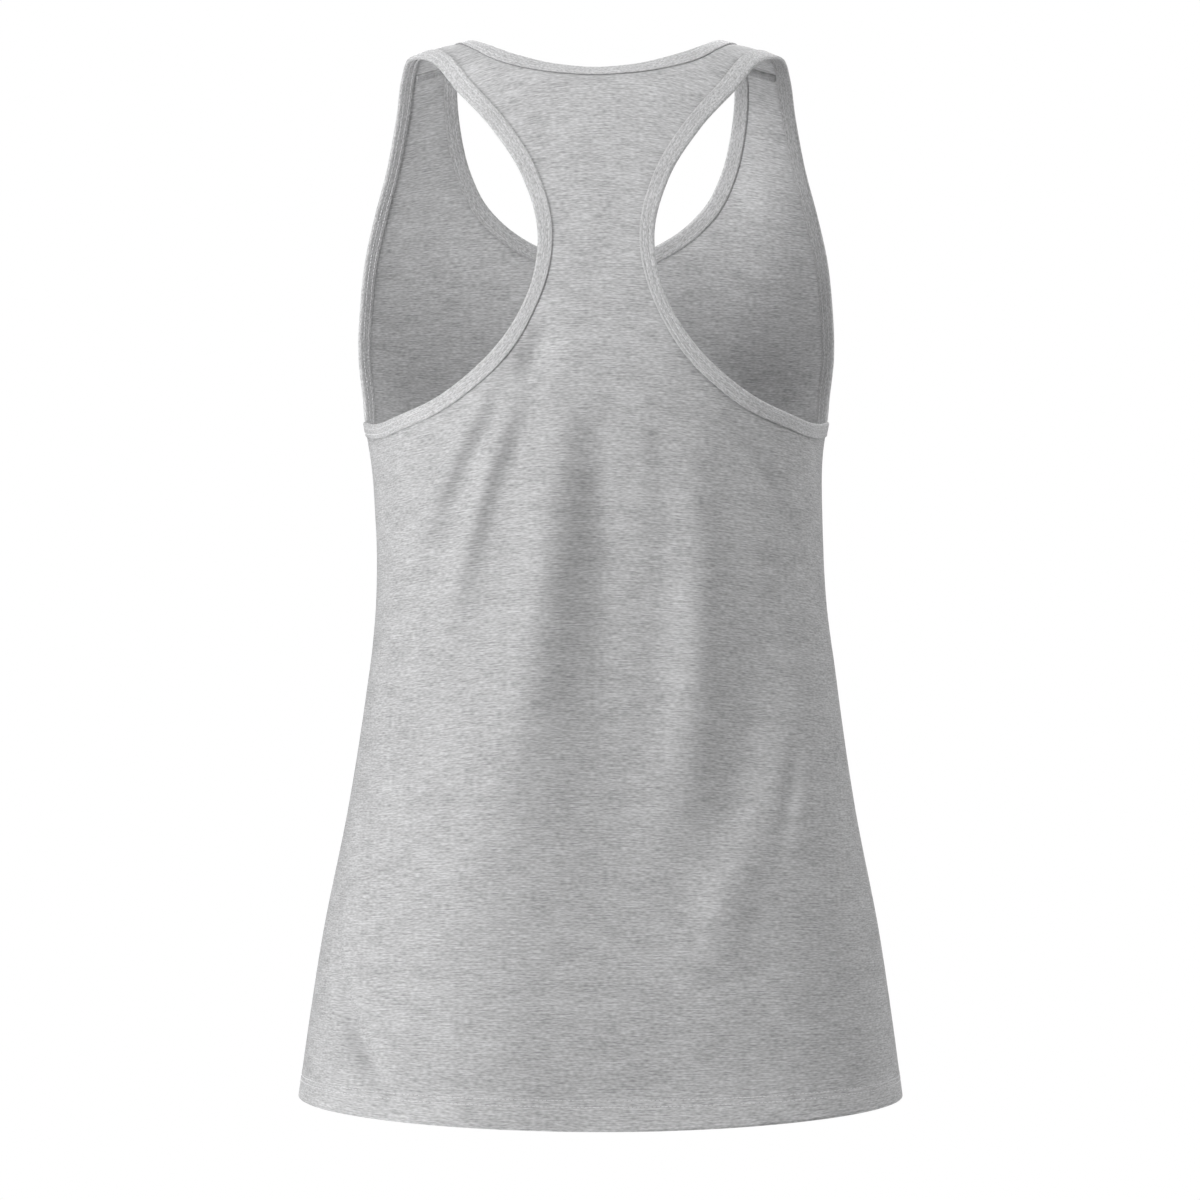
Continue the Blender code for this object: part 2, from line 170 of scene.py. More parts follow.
# Finished edges. The armhole runs from the side seam up the front, over the shoulder
# and down the back to the side seam.
EdgePoint = namedtuple("EdgePoint", "run across")
ARMHOLE_EDGE = [
    EdgePoint(-250, 168.5),
    EdgePoint(-217, 164.6),
    EdgePoint(-182, 158),
    EdgePoint(-150, 152),
    EdgePoint(-117, 143),
    EdgePoint(-85, 134),
    EdgePoint(-54, 127),
    EdgePoint(-25, 123),
    EdgePoint(0, 118),
    EdgePoint(25, 105),
    EdgePoint(59, 86),
    EdgePoint(94, 63),
    EdgePoint(129, 44),
    EdgePoint(165, 35),
    EdgePoint(194, 39),
    EdgePoint(228, 58),
    EdgePoint(254, 94),
    EdgePoint(263, 139),
]
NECK_EDGE = [
    EdgePoint(-158, 0),
    EdgePoint(-149, 35),
    EdgePoint(-134, 58),
    EdgePoint(-119, 71),
    EdgePoint(-102, 79),
    EdgePoint(-71, 86),
    EdgePoint(-38, 87),
    EdgePoint(0, 79),
    EdgePoint(35, 60),
    EdgePoint(49.5, 34),
    EdgePoint(56, 0),
]

# Folds from one place to another: bow is how far the middle bends aside, peak is the
# share of the length where the fold is highest, depth is positive for a ridge. The first
# row is the soft roll of the back neck edge towards the wearer.
Fold = namedtuple("Fold", "run_from across_from run_to across_to bow "
                          "width_from width_to peak depth")
FOLDS = [
    Fold(-42, -120, -42, 120, -92, 14, 14, 0.50, -8.6),
    Fold(228, 16, 560, 60, -2, 14, 18, 0.32, 6.0),
    Fold(248, 18, 820, 98, 3, 24, 74, 0.36, 11.5),
    Fold(235, -4, 560, 4, 0, 11, 20, 0.30, -3.0),
    Fold(245, -53, 570, -34, -13, 12, 18, 0.50, 7.5),
    Fold(330, -104, 556, -70, -4, 20, 17, 0.72, -6.0),
    Fold(486, -101, 622, -52, 0, 10, 20, 0.55, 5.0),
    Fold(668, 80, 666, -175, 0, 28, 28, 0.45, -7.0),
    Fold(-235, 60, -650, 86, 6, 20, 32, 0.40, 5.0),
    Fold(-235, -64, -640, -94, -5, 19, 30, 0.35, 4.4),
    Fold(-205, 5, -590, -8, 4, 20, 27, 0.35, -3.6),
    Fold(-262, 128, -430, 106, -4, 12, 17, 0.30, -2.6),
    Fold(-260, -130, -400, -112, 3, 12, 16, 0.30, -2.4),
]

# Creases too fine for the solids.
CREASES = [
    Fold(240, 36, 455, 100, 11, 6.5, 11, 0.32, 6.0),
    Fold(250, 58, 372, 126, 3, 6, 9, 0.36, 5.6),
    Fold(268, 104, 330, 142, 4, 6, 9, 0.40, 1.2),
    Fold(250, -70, 350, -140, 0, 8.5, 11, 0.40, -3.4),
    Fold(262, -102, 345, -136, 0, 6, 8, 0.45, 1.4),
    Fold(250, -26, 365, -30, 0, 6, 7, 0.40, 1.2),
    Fold(448, -123, 548, -106, 0, 4, 5.5, 0.50, -2.6),
    Fold(452, -133, 536, -117, 0, 4, 5, 0.55, 0.9),
    Fold(212, 23, 264, 51, 0, 9, 8, 0.50, -4.6),
    Fold(540, 184, 690, 105, 18, 5.5, 8, 0.62, -6.0),
    Fold(-240, 150, -330, 118, 4, 8, 11, 0.35, -2.6),
    Fold(-236, -148, -322, -122, -3, 8, 11, 0.40, -2.8),
    Fold(-246, 96, -350, 84, 3, 7, 9, 0.40, 2.0),
    Fold(-250, -104, -340, -92, -2, 7, 9, 0.40, 1.8),
    Fold(-520, -168, -682, -130, 4, 7, 9, 0.55, -2.2),
    Fold(-500, 120, -660, 140, -4, 9, 12, 0.45, -1.9),
    Fold(-430, -60, -610, -44, 5, 9, 13, 0.50, 1.8),
]

# The top hangs a little askew: sideways shift at each height, in millimetres.
SwayPoint = namedtuple("SwayPoint", "height shift")
SWAY = [
    SwayPoint(-660, -0.3),
    SwayPoint(-500, -0.9),
    SwayPoint(-380, -1.5),
    SwayPoint(-310, 0.0),
    SwayPoint(-250, 2.4),
    SwayPoint(-160, 2.3),
    SwayPoint(0, 2.6),
]

# Heights above the hem edge at which the turned hem has rows of points.
HEM_LEVELS = (0.15, 0.4, 0.8, 1.4, 2.6, 4.6, 6.8, 8.8, 10.4, 11.3, 11.7, 12.0, 12.3, 12.9,
              13.6, 14.3, 14.9, 15.2, 15.5, 16.1, 16.8, 17.1, 17.6, 18.6, 20.2)
SEAM_LEVELS = (0.35, 0.8, 1.5, 2.7)

# Centre line of the folded binding from the finished edge to its folded end, as
# (distance from the finished edge, lift from the middle of the panel).
BandPoint = namedtuple("BandPoint", "distance lift")
BAND_PROFILE = [
    BandPoint(0.40, 0.0),
    BandPoint(0.46, 0.42),
    BandPoint(0.80, 0.82),
    BandPoint(1.50, 1.02),
    BandPoint(2.30, 0.99),
    BandPoint(2.80, 0.90),
    BandPoint(3.10, 0.84),
    BandPoint(3.40, 0.89),
    BandPoint(4.00, 0.98),
    BandPoint(5.00, 1.03),
    BandPoint(5.90, 0.98),
    BandPoint(6.30, 0.90),
    BandPoint(6.60, 0.85),
    BandPoint(6.90, 0.90),
    BandPoint(7.50, 1.00),
    BandPoint(8.20, 1.06),
    BandPoint(8.60, 0.98),
]
BAND_STITCH_ROWS = (3.1, 6.6)
# The inner face of the binding is flat, at this distance from the middle.
BAND_INNER_LIFT = 0.92
# Turns of the round cap at each end of the folded layers, in degrees.
CAP_TURNS = (-60.0, -20.0, 20.0, 60.0)

# Section of a seam allowance, with lifts from the inner skin.
ALLOWANCE_SECTION = [
    BandPoint(0.0, -0.05),
    BandPoint(SERGING_WIDTH - 0.4, -0.05),
    BandPoint(SERGING_WIDTH, -0.35),
    BandPoint(SERGING_WIDTH, -0.80),
    BandPoint(SERGING_WIDTH - 0.4, -1.05),
    BandPoint(0.9, -1.05),
    BandPoint(0.2, -0.75),
]

# One stitch from end to end: share of its length, rise, share of the thread's radius.
StitchPoint = namedtuple("StitchPoint", "along rise radius")
STITCH_PROFILE = [
    StitchPoint(-0.5, -0.34, 0.55),
    StitchPoint(-0.3, -0.02, 1.0),
    StitchPoint(0.0, 0.05, 1.05),
    StitchPoint(0.3, -0.02, 1.0),
    StitchPoint(0.5, -0.34, 0.55),
]

# Faint waves of the limp cloth, lengths in millimetres, slant in radians.
RIPPLE_SEED = 11
RIPPLE_COUNT = 14
RIPPLE_LENGTHS = (26, 70)
RIPPLE_SLANT = 0.45
RIPPLE_STEEPNESS = 0.0009


def strip_rows():
    """Every rib as (run, mid height, edge height, mid depth, edge depth, half width, wrap)."""
    front = [(-ring.run, ring.front_height, ring.side_height, ring.front_depth,
              ring.side_depth, ring.half_width, ring.front_wrap) for ring in reversed(BODY_RINGS)]
    back = [(ring.run, ring.back_height, ring.side_height, ring.back_depth,
             ring.side_depth, ring.half_width, BACK_WRAP) for ring in BODY_RINGS]
    return np.array(front + FRONT_RIBS + [SHOULDER_RIB] + BACK_RIBS + back, dtype=float)


ROWS = strip_rows()
RUNS = ROWS[:, 0]
SHAPES = ROWS[:, 1:]
SLOPES = np.gradient(SHAPES, RUNS, axis=0)


def cubic(start, stop, start_slope, stop_slope, span, share):
    """A cubic from start to stop with a slope at each end, at shares of its span."""
    back = 1 - share
    return (start * (1 + 2 * share) * back ** 2 + stop * (3 - 2 * share) * share ** 2
            + start_slope * span * share * back ** 2 - stop_slope * span * back * share ** 2)


def rib_values(run):
    """The six rib values at each run, by a cubic through the rows."""
    row = np.clip(np.searchsorted(RUNS, run) - 1, 0, len(RUNS) - 2)
    span = (RUNS[row + 1] - RUNS[row])[:, None]
    share = (run - RUNS[row])[:, None] / span
    return cubic(SHAPES[row], SHAPES[row + 1], SLOPES[row], SLOPES[row + 1], span, share).T


def rib_points(values, share):
    """Points at a share of the way round each rib: 0 on the centre line, 1 at its edge."""
    mid_height, edge_height, mid_depth, edge_depth, half_width, wrap = values
    full = np.radians(wrap)
    turn = share * full

    def sideways(angle):
        return np.sin(angle) + RIB_SQUARENESS * np.sin(3 * angle)

    def forwards(angle):
        return np.cos(angle) - RIB_SQUARENESS * np.cos(3 * angle)

    reach = sideways(turn) / sideways(full)
    bend = (forwards(0.0) - forwards(turn)) / (forwards(0.0) - forwards(full))
    x = half_width * reach
    y = mid_depth + (edge_depth - mid_depth) * bend
    z = mid_height + (edge_height - mid_height) * reach ** 2
    return np.stack([x, y, z], axis=-1)


def rib_lengths(values):
    """Distance round each rib from the centre line at evenly spaced shares."""
    shares = np.linspace(0.0, 1.0, RIB_SAMPLES)
    points = rib_points([value[:, None] for value in values], shares[None, :])
    steps = np.linalg.norm(np.diff(points, axis=1), axis=2)
    return shares, np.concatenate([np.zeros((len(steps), 1)), np.cumsum(steps, axis=1)], axis=1)


def smooth_cloth(run, across):
    """Points of the cloth before its folds, for arrays of run and across."""
    values = rib_values(run)
    shares, lengths = rib_lengths(values)
    distance = np.abs(across)
    sample = np.clip((lengths < distance[:, None]).sum(axis=1) - 1, 0, RIB_SAMPLES - 2)
    rows = np.arange(len(run))
    before, after = lengths[rows, sample], lengths[rows, sample + 1]
    share = shares[sample] + (distance - before) / (after - before) * shares[1]
    points = rib_points(values, share)
    points[:, 0] *= np.where(across < 0, -1.0, 1.0)
    return points


def side_across(run):
    """Across at the side seam, the full length of half a rib."""
    return rib_lengths(rib_values(run))[1][:, -1]


def eased(share):
    """A share that starts and stops softly between 0 and 1."""
    share = np.clip(share, 0.0, 1.0)
    return share * share * (3 - 2 * share)


def ripple_waves():
    """Faint waves of the limp cloth, as (run frequency, across frequency, phase, height)."""
    dice = np.random.default_rng(RIPPLE_SEED)
    waves = []
    for _ in range(RIPPLE_COUNT):
        length = dice.uniform(*RIPPLE_LENGTHS)
        slant = dice.normal(0.0, RIPPLE_SLANT)
        rate = 2 * math.pi / length
        waves.append((math.sin(slant) * rate, math.cos(slant) * rate,
                      dice.uniform(0, 2 * math.pi), length * RIPPLE_STEEPNESS))
    return waves


RIPPLES = ripple_waves()


def fold_lift(folds, run, across):
    """How far a list of folds stands out of the smooth cloth."""
    lift = np.zeros(len(run))
    for fold in folds:
        run_span = fold.run_to - fold.run_from
        across_span = fold.across_to - fold.across_from
        length = math.hypot(run_span, across_span)
        run_gap, across_gap = run - fold.run_from, across - fold.across_from
        along = np.clip((run_gap * run_span + across_gap * across_span) / length ** 2, 0.0, 1.0)
        aside = (across_gap * run_span - run_gap * across_span) / length
        aside = aside - fold.bow * 4 * along * (1 - along)
        width = fold.width_from + (fold.width_to - fold.width_from) * along
        rise = np.where(along < fold.peak, along / fold.peak, (1 - along) / (1 - fold.peak))
        lift += fold.depth * eased(rise) * np.exp(-(aside / width) ** 2)
    return lift


def relief(run, across, side):
    """How far folds, creases and faint waves stand out, dying away towards the side seams."""
    lift = fold_lift(FOLDS, run, across)
    for run_rate, across_rate, phase, height in RIPPLES:
        lift += height * np.sin(run_rate * run + across_rate * across + phase)
    to_side = side - np.abs(across)
    return (lift * eased(to_side / SIDE_CALM)
            + fold_lift(CREASES, run, across) * eased(to_side / CREASE_CALM))


def unit(vectors):
    """The vectors at length one."""
    return vectors / np.linalg.norm(vectors, axis=-1)[..., None]


def cloth_frame(places):
    """Middle points of the cloth wall and its outward normals, in millimetres."""
    run, across = places[:, 0], places[:, 1]
    step = NORMAL_STEP
    middle = smooth_cloth(run, across)
    down = smooth_cloth(run + step, across) - smooth_cloth(run - step, across)
    over = smooth_cloth(run, across + step) - smooth_cloth(run, across - step)
    normal = unit(np.cross(over, down))
    side = side_across(run)
    down += normal * (relief(run + step, across, side) - relief(run - step, across, side))[:, None]
    over += normal * (relief(run, across + step, side) - relief(run, across - step, side))[:, None]
    middle += normal * relief(run, across, side)[:, None]
    heights, shifts = zip(*SWAY)
    middle[:, 0] += np.interp(middle[:, 2], heights, shifts)
    return middle, unit(np.cross(over, down))


def cloth(places, lift):
    """Points in metres at (run, across) places, lifted out of the middle of the wall."""
    middle, normal = cloth_frame(places)
    return (middle + normal * np.broadcast_to(lift, len(places))[:, None]) * METRES


def smooth_curve(points):
    """A dense curve through the points, by a cubic over their spacing."""
    points = np.array(points, dtype=float)
    spacing = np.linalg.norm(np.diff(points, axis=0), axis=1)
    station = np.concatenate([[0.0], np.cumsum(spacing)])
    slopes = np.gradient(points, station, axis=0)
    dense = [points[:1]]
    for i, span in enumerate(spacing):
        share = np.linspace(0.0, 1.0, CURVE_SAMPLES + 1)[1:, None]
        dense.append(cubic(points[i], points[i + 1], slopes[i], slopes[i + 1], span, share))
    return np.concatenate(dense)


def curve_lengths(curve):
    """Distance along a curve at each of its points."""
    return np.concatenate([[0.0], np.cumsum(np.linalg.norm(np.diff(curve, axis=0), axis=1))])


def at_stations(curve, stations):
    """Points of a curve at distances along it."""
    lengths = curve_lengths(curve)
    return np.stack([np.interp(stations, lengths, curve[:, axis]) for axis in (0, 1)], axis=-1)


def resample(curve, step):
    """The curve cut into equal lengths of about the step."""
    total = curve_lengths(curve)[-1]
    count = max(2, round(total / step))
    return at_stations(curve, np.linspace(0.0, total, count + 1))


def square_ended(points):
    """A dense curve through the points that ends straight across the strip."""
    before = (points[1][0], 2 * points[0][1] - points[1][1])
    beyond = (points[-2][0], 2 * points[-1][1] - points[-2][1])
    return smooth_curve([before, *points, beyond])[CURVE_SAMPLES:-CURVE_SAMPLES]


def armhole_curve():
    """Finished armhole edge on the +across side, from side seam to side seam."""
    front_end, back_end = side_across(np.array([-ARMHOLE_BOTTOM_RUN, ARMHOLE_BOTTOM_RUN]))
    return square_ended([(-ARMHOLE_BOTTOM_RUN, front_end), *ARMHOLE_EDGE,
                         (ARMHOLE_BOTTOM_RUN, back_end)])


def neck_curve():
    """Half of the finished neck edge, from the front centre to the back centre."""
    return square_ended(NECK_EDGE)


def edge_frame(edge, step, hand):
    """Places along an edge and their directions into the cloth, on one hand of it."""
    curve = resample(edge, step)
    along = unit(np.gradient(curve, axis=0))
    into = np.stack([along[:, 1], -along[:, 0]], axis=1) * hand
    into[0], into[-1] = (-1.0, 0.0), (1.0, 0.0)
    return curve, into


def armhole_frame(step):
    """Places along the armhole and their directions into the cloth."""
    return edge_frame(armhole_curve(), step, 1)


def neck_frame(step):
    """Places along half of the neck and their directions into the cloth."""
    return edge_frame(neck_curve(), step, -1)


def moved_in(curve, into, distance):
    """The curve moved into the cloth, keeping its share of the way to the side seam."""
    moved = curve + into * distance
    moved[:, 1] *= side_across(moved[:, 0]) / side_across(curve[:, 0])
    return moved


def trimmed(curve, sign):
    """The part of a curve on one side of the shoulder seam, with its end on the seam."""
    limit = SHOULDER_SEAM_RUN + sign * SEAM_GAP / 2
    inside = sign * (curve[:, 0] - limit) > 0
    kept = []
    for i, place in enumerate(curve):
        if i and inside[i] != inside[i - 1]:
            share = (limit - curve[i - 1][0]) / (place[0] - curve[i - 1][0])
            kept.append(curve[i - 1] + share * (place - curve[i - 1]))
        if inside[i]:
            kept.append(place)
    return np.array(kept)


def panel_edges(sign):
    """Half of a panel's edge as (neck, shoulder, armhole, side, hem) runs of places."""
    neck = trimmed(moved_in(*neck_frame(EDGE_STEP), BINDING_TUCK), sign)
    armhole = trimmed(moved_in(*armhole_frame(EDGE_STEP), BINDING_TUCK), sign)
    if sign > 0:
        neck = neck[::-1]
    else:
        armhole = armhole[::-1]
    armhole[-1][1] -= SEAM_GAP / 2
    shoulder = resample(np.array([neck[-1], armhole[0]]), EDGE_STEP)[1:-1]
    hem_rows = HEM_RUN - np.array(sorted(HEM_LEVELS, reverse=True) + [0.0])
    above = resample(np.array([(abs(armhole[-1][0]), 0.0), (hem_rows[0], 0.0)]), PANEL_STEP)
    side_runs = sign * np.concatenate([above[1:-1, 0], hem_rows])
    side = np.stack([side_runs, side_across(side_runs) - SEAM_GAP / 2], axis=1)
    hem = resample(np.array([side[-1], (sign * HEM_RUN, 0.0)]), PANEL_STEP)[1:]
    return neck, shoulder, armhole, side, hem


def inside_outline(places, outline):
    """Which places lie inside a closed outline."""
    inside = np.zeros(len(places), dtype=bool)
    ahead = np.roll(outline, -1, axis=0)
    for (run_a, across_a), (run_b, across_b) in zip(outline, ahead):
        if run_a == run_b:
            continue
        level = (places[:, 0] >= min(run_a, run_b)) & (places[:, 0] < max(run_a, run_b))
        crossing = across_a + (places[:, 0] - run_a) * (across_b - across_a) / (run_b - run_a)
        inside ^= level & (places[:, 1] < crossing)
    return inside


def clear_of_outline(places, outline, distance):
    """Which places keep a distance to the outline's edges."""
    clear = np.ones(len(places), dtype=bool)
    ahead = np.roll(outline, -1, axis=0)
    for start, stop in zip(outline, ahead):
        edge = stop - start
        share = np.clip((places - start) @ edge / (edge @ edge), 0.0, 1.0)
        gap = places - start - share[:, None] * edge
        clear &= (gap * gap).sum(axis=1) > distance * distance
    return clear


def inner_places(outline, shoulder, side, sign):
    """Rows of places that fill the outline, with close rows by the hem and the seams."""
    hem_rows = sign * (HEM_RUN - np.array(HEM_LEVELS))
    row_step = PANEL_STEP * math.sqrt(3) / 2
    hem_top = HEM_RUN - max(HEM_LEVELS) - row_step / 2
    low = outline[:, 0].min()
    reach = outline[:, 1].max()
    rows = []
    for count, run in enumerate(np.arange(low, outline[:, 0].max(), row_step)):
        if sign * run < hem_top:
            shift = PANEL_STEP / 2 if count % 2 else 0.0
            across = np.arange(-reach - shift, reach, PANEL_STEP)
            rows.append(np.stack([np.full(len(across), run), across], axis=1))
    grid = np.concatenate(rows)
    sides = side_across(grid[:, 0]) - np.abs(grid[:, 1])
    by_side = (sides < max(SEAM_LEVELS) + PANEL_STEP / 2) & (abs(grid[:, 0]) > side[:, 0].min())
    seam_gap = sign * (grid[:, 0] - SHOULDER_SEAM_RUN)
    keep = inside_outline(grid, outline) & ~by_side & (seam_gap > max(SEAM_LEVELS) + row_step / 2)
    grid = grid[keep & clear_of_outline(grid, outline, PANEL_STEP * EDGE_CLEARANCE)]
    extra = []
    for level in SEAM_LEVELS:
        for mirror in (1.0, -1.0):
            extra.append(np.stack([side[2:-1, 0], mirror * (side[2:-1, 1] - level)], axis=1))
            extra.append(np.stack([shoulder[1:-1, 0] + sign * level,
                                   mirror * shoulder[1:-1, 1]], axis=1))
    for run in hem_rows:
        edge = side_across(np.array([run]))[0] - SEAM_GAP / 2 - max(SEAM_LEVELS) - PANEL_STEP / 2
        across = resample(np.array([(run, -edge), (run, edge)]), PANEL_STEP)
        extra.append(across)
    return np.concatenate([grid] + extra)


def fill_outline(outline, inner):
    """Triangles over the outline and its inner places, as (places, triangles)."""
    points = [Vector(place) for place in np.concatenate([outline, inner])]
    count = len(outline)
    edges = [(i, (i + 1) % count) for i in range(count)]
    result = delaunay_2d_cdt(points, edges, [], 1, MERGE_DISTANCE)
    return np.array([tuple(v) for v in result[0]]), np.array([tuple(f) for f in result[2]])


def bump(distance, centre, width):
    """A smooth hump of height one."""
    return np.exp(-((distance - centre) / width) ** 2)


def panel_lifts(places, sign):
    """Lifts of the outer and the inner skin, with the seams' rolls and the turned hem."""
    run, across = places[:, 0], places[:, 1]
    half = np.full(len(places), JERSEY_WALL / 2)
    to_side = np.where(abs(run) > ARMHOLE_BOTTOM_RUN, side_across(run) - np.abs(across), np.inf)
    to_shoulder = sign * (run - SHOULDER_SEAM_RUN)
    to_seam = np.minimum(to_side, to_shoulder)
    roll = -SEAM_ROLL * bump(to_seam, 0.0, SEAM_ROLL_REACH)
    thin = half * (1 - SEAM_THINNING * bump(to_seam, 0.0, SEAM_THINNING_REACH))
    above = HEM_RUN - np.abs(run)
    in_hem = np.clip((HEM_HEIGHT + HEM_LAYER_RAMP / 2 - above) / HEM_LAYER_RAMP, 0.0, 1.0)
    swell = eased((HEM_HEIGHT + HEM_SWELL_RAMP / 2 - above) / HEM_SWELL_RAMP)
    outer = roll + thin + HEM_SWELL * swell
    inner = roll - thin - HEM_LAYER * in_hem
    for row in HEM_STITCH_ROWS:
        outer -= HEM_OUTER_GROOVE * bump(above, row, HEM_GROOVE_REACH)
        inner += HEM_INNER_GROOVE * bump(above, row, HEM_GROOVE_REACH)
    outer += HEM_RIDGE * bump(above, sum(HEM_STITCH_ROWS) / 2, HEM_RIDGE_REACH)
    curl = np.sqrt(1 - (1 - np.clip(above / HEM_ROUNDING, HEM_EDGE_SHARE, 1.0)) ** 2)
    centre = (outer + inner) / 2
    return centre + (outer - centre) * curl, centre + (inner - centre) * curl


def mesh_object(name, points, faces, strip, material):
    """A smooth object with a UV map named strip, in metres along and across the cloth."""
    mesh = bpy.data.meshes.new(name)
    mesh.from_pydata(points.tolist(), [], faces.tolist())
    layer = mesh.uv_layers.new(name="strip")
    corners = np.empty(len(mesh.loops), dtype=np.int32)
    mesh.loops.foreach_get("vertex_index", corners)
    layer.data.foreach_set("uv", strip[corners].astype(np.float32).ravel())
    mesh.shade_smooth()
    mesh.materials.append(material)
    thing = bpy.data.objects.new(name, mesh)
    bpy.context.collection.objects.link(thing)
    return thing


def rim_faces(triangles, count):
    """Quads split in triangles that join two skins along the outer skin's open edges."""
    edges = np.concatenate([triangles[:, [0, 1]], triangles[:, [1, 2]], triangles[:, [2, 0]]])
    key = np.sort(edges, axis=1)
    _, first, uses = np.unique(key, axis=0, return_index=True, return_counts=True)
    a, b = edges[first[uses == 1]].T
    return np.concatenate([np.stack([b, a, a + count], axis=1),
                           np.stack([b, a + count, b + count], axis=1)])


def make_panel(name, sign, material):
    """A panel of one jersey layer with its turned hem: two skins and the rim between."""
    neck, shoulder, armhole, side, hem = panel_edges(sign)
    half = np.concatenate([neck, shoulder, armhole, side, hem])
    outline = np.concatenate([half, half[::-1][1:-1] * (1.0, -1.0)])
    places, triangles = fill_outline(outline, inner_places(outline, shoulder, side, sign))
    a, b, c = (places[triangles[:, i]] for i in range(3))
    turn = (b - a)[:, 0] * (c - a)[:, 1] - (b - a)[:, 1] * (c - a)[:, 0]
    triangles[turn > 0] = triangles[turn > 0][:, ::-1]
    middle, normal = cloth_frame(places)
    outer, inner = panel_lifts(places, sign)
    points = np.concatenate([middle + normal * outer[:, None],
                             middle + normal * inner[:, None]]) * METRES
    count = len(places)
    faces = np.concatenate([triangles, triangles[:, ::-1] + count, rim_faces(triangles, count)])
    strip = np.tile(places[:, ::-1] * METRES, (2, 1))
    return mesh_object(name, points, faces, strip, material)


def band_section():
    """Closed section of the folded binding, as (distance, lift), round from end to end."""
    side = np.array(BAND_PROFILE)
    inner = np.stack([side[1:, 0], -np.minimum(side[1:, 1], BAND_INNER_LIFT)], axis=1)
    line = np.concatenate([side[::-1], inner])
    along = unit(np.gradient(line, axis=0))
    across = np.stack([-along[:, 1], along[:, 0]], axis=1)
    half = BINDING_FOLD / 2
    out, back = line - across * half, line + across * half
    turns = np.radians(CAP_TURNS)[:, None]
    start = line[0] + half * (np.sin(turns) * across[0] - np.cos(turns) * along[0])
    stop = line[-1] + half * (np.cos(turns) * along[-1] - np.sin(turns) * across[-1])
    return np.concatenate([out, stop, back[::-1], start[::-1]])


def join_dip(stations, total, join):
    """How near each station is to the band's join, 1 on it."""
    gap = np.abs((stations - join + total / 2) % total - total / 2)
    return bump(gap, 0.0, BAND_JOIN_REACH)


def ring_faces(here, ahead, width):
    """Triangles between closed rings of points that start at here and at ahead."""
    j = np.arange(width)
    k = (j + 1) % width
    return [np.stack([here + j, ahead + j, ahead + k], axis=-1).reshape(-1, 3),
            np.stack([here + j, ahead + k, here + k], axis=-1).reshape(-1, 3)]


def make_band(name, places, into, side, join, material):
    """A folded binding along an edge whose two ends meet, with stitched grooves and a join."""
    section = band_section()
    stations = curve_lengths(places)
    total = stations[-1]
    stations, places, into = stations[:-1], places[:-1], into[:-1]
    dip = join_dip(stations, total, join)
    pinch = 0.5 * np.cos(2 * math.pi * stations / STITCH_PITCH)
    rings, marks = [], []
    around = curve_lengths(section)
    for (distance, lift), way in zip(section, around):
        depth = sum(bump(distance, row, BAND_PINCH_REACH) for row in BAND_STITCH_ROWS)
        height = lift - np.sign(lift) * BAND_PINCH * depth * pinch
        height *= 1 - BAND_JOIN_DIP * dip
        spots = moved_in(places, into, distance) * (1.0, side)
        rings.append(cloth(spots, height))
        marks.append(np.stack([stations, np.full(len(stations), way)], axis=1) * METRES)
    points = np.stack(rings, axis=1).reshape(-1, 3)
    strip = np.stack(marks, axis=1).reshape(-1, 2)
    width = len(section)
    here = np.arange(len(places))[:, None] * width
    faces = np.concatenate(ring_faces(here, np.roll(here, -1, axis=0), width))
    if side < 0:
        faces = faces[:, ::-1]
    return mesh_object(name, points, faces, strip, material)


def tubes(centres, normals, radii, sides):
    """Points and faces of thin tubes: centres is (tube, point, xyz), all in millimetres."""
    tangent = unit(np.gradient(centres, axis=1))
    lateral = unit(np.cross(tangent, normals))
    up = np.cross(lateral, tangent)
    angles = np.arange(sides) * 2 * math.pi / sides
    ring = (lateral[:, :, None] * np.cos(angles)[:, None] + up[:, :, None] * np.sin(angles)[:, None])
    points = centres[:, :, None] + ring * np.broadcast_to(radii, centres.shape[:2])[..., None, None]
    tube_count, length = centres.shape[:2]
    base = np.arange(tube_count)[:, None, None] * length * sides
    here = base + np.arange(length - 1)[:, None] * sides
    faces = ring_faces(here, here + sides, sides)
    for end, flip in ((0, 1), (length - 1, -1)):
        for i in range(1, sides - 1):
            cap = np.array([0, i, i + 1][::flip]) + end * sides
            faces.append(base.reshape(-1, 1) + cap)
    return points.reshape(-1, 3), np.concatenate(faces)


StitchRow = namedtuple("StitchRow", "curve lift side")


def lifted(places, lift):
    """Points and normals in millimetres at places of shape (..., 2)."""
    middle, normal = cloth_frame(places.reshape(-1, 2))
    points = middle + normal * np.broadcast_to(lift, places.shape[:-1]).reshape(-1, 1)
    shape = places.shape[:-1] + (3,)
    return points.reshape(shape), normal.reshape(shape)


def thread_object(name, bundles, material):
    """One object of several bundles of tubes, each as (points, faces) in millimetres."""
    starts = np.cumsum([0] + [len(points) for points, _ in bundles])
    points = np.concatenate([points for points, _ in bundles]) * METRES
    faces = np.concatenate([faces + start for (_, faces), start in zip(bundles, starts)])
    strip = np.zeros((len(points), 2))
    strip[:, 0] = np.arange(len(points)) * METRES
    return mesh_object(name, points, faces, strip, material)


def make_stitches(name, rows, material):
    """Straight stitches along rows, each one a short thread that dips at both ends."""
    along, rise, radius = np.array(STITCH_PROFILE).T
    bundles = []
    for row in rows:
        total = curve_lengths(row.curve)[-1]
        middles = np.arange(STITCH_PITCH / 2, total - STITCH_PITCH / 4, STITCH_PITCH)
        places = at_stations(row.curve, middles[:, None] + along * STITCH_LENGTH)
        centres, normals = lifted(places, row.side * (row.lift + rise))
        bundles.append(tubes(centres, normals * row.side, radius * THREAD_RADIUS, STITCH_SIDES))
    return thread_object(name, bundles, material)


